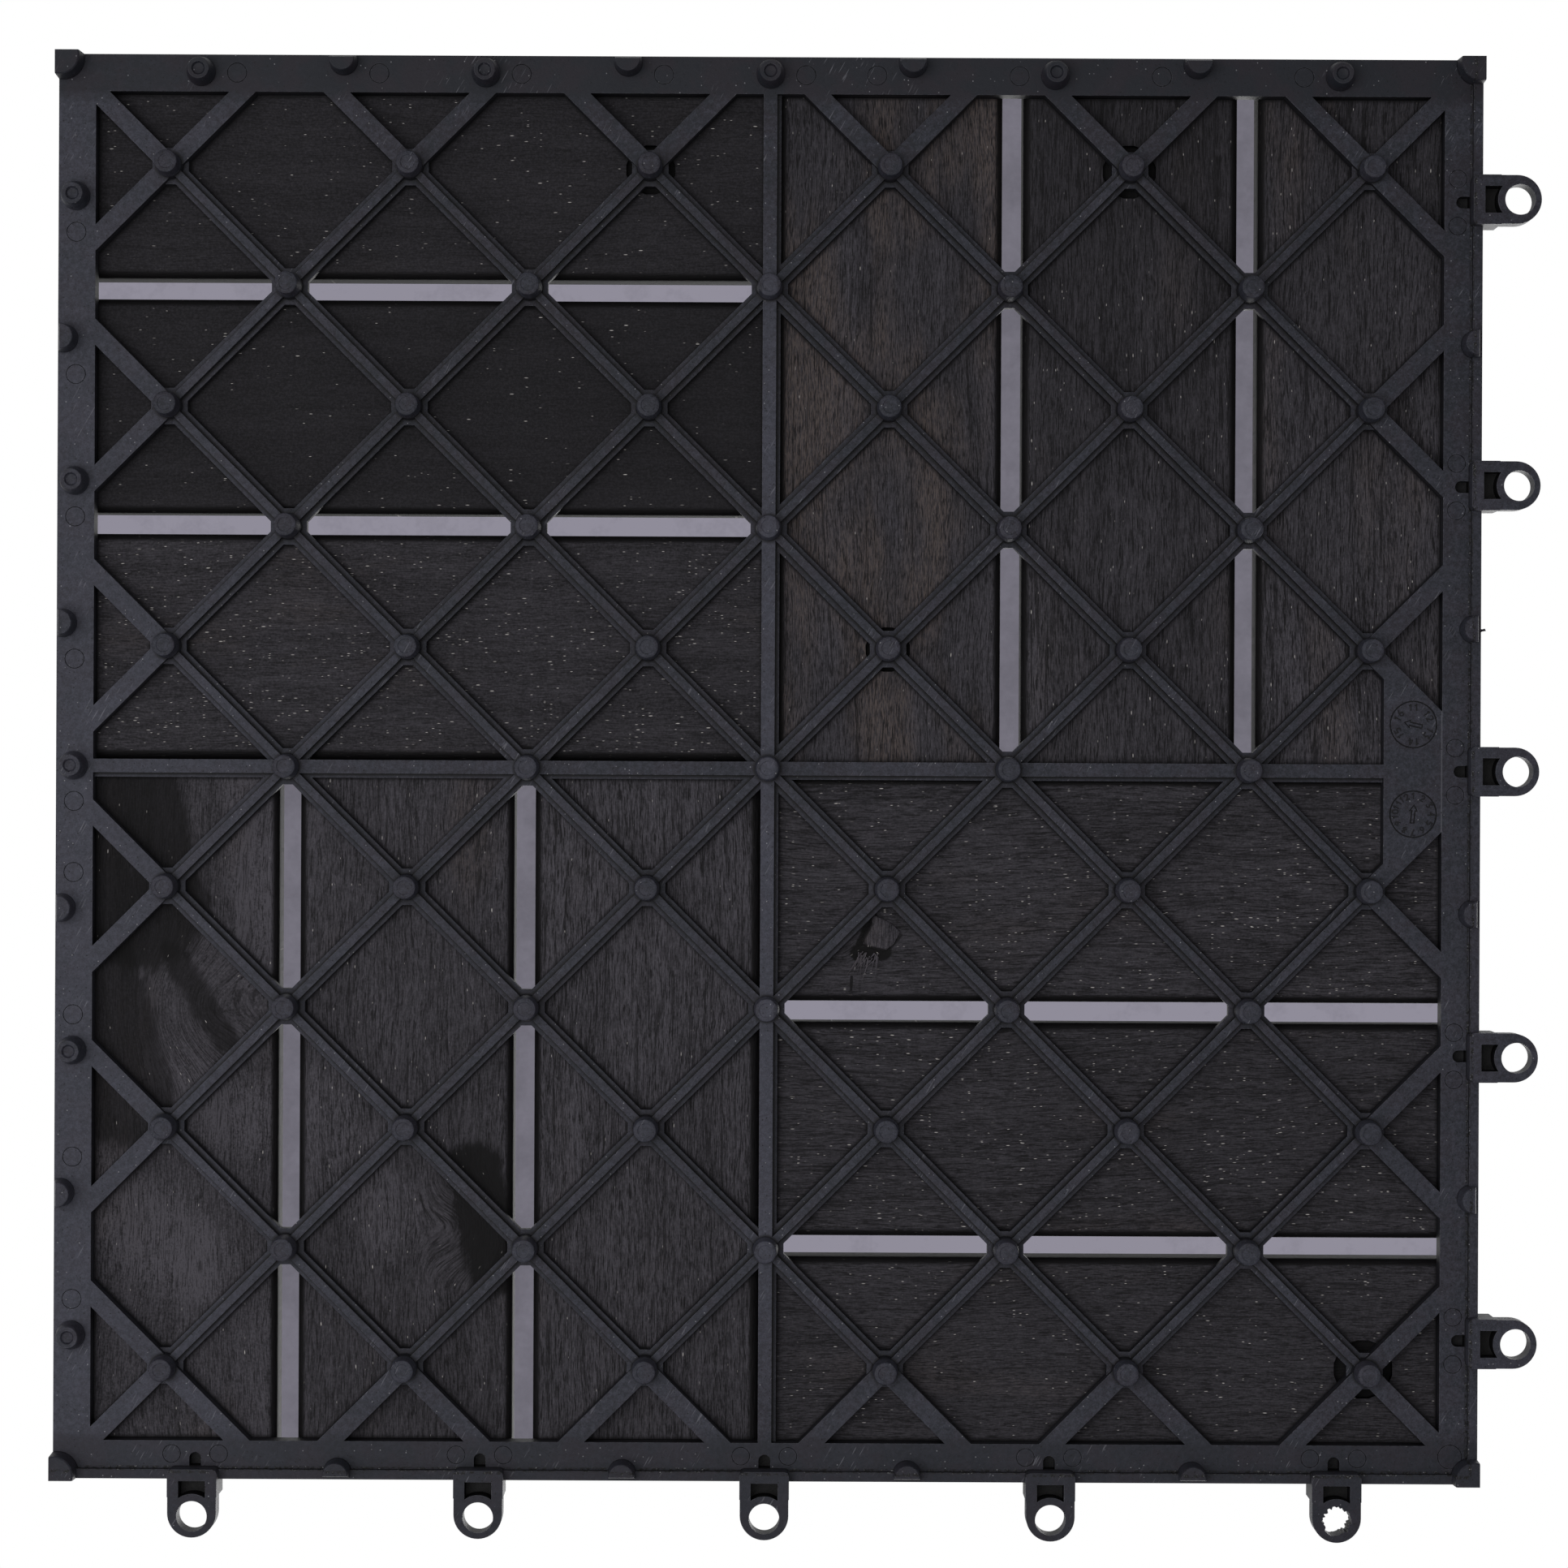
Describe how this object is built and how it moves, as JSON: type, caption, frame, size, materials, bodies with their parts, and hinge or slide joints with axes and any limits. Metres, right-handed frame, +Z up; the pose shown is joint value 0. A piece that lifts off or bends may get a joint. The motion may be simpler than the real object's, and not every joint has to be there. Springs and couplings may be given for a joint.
{
  "type": "interlocking deck tile",
  "caption": "Square deck tile with dark hardwood slats laid in crossed quarters on a black plastic lattice base, with snap-in pegs and loops along its sides.",
  "frame": {"origin": "middle of the tile, at the ground under the middle foot", "axes": "+Z up, out of the walking face; +X and +Y towards the two sides that carry the loops"},
  "size_m": [0.3118, 0.3118, 0.024],
  "materials": {
    "base_plastic": "satin",
    "slat_wood": "stained, open grain"
  },
  "bodies": {
    "root": {"base_grid": "base_plastic", "slat_a1": "slat_wood", "slat_a2": "slat_wood", "slat_a3": "slat_wood", "slat_b1": "slat_wood", "slat_b2": "slat_wood", "slat_b3": "slat_wood", "slat_c1": "slat_wood", "slat_c2": "slat_wood", "slat_c3": "slat_wood", "slat_d1": "slat_wood", "slat_d2": "slat_wood", "slat_d3": "slat_wood"}
  },
  "joints": []
}
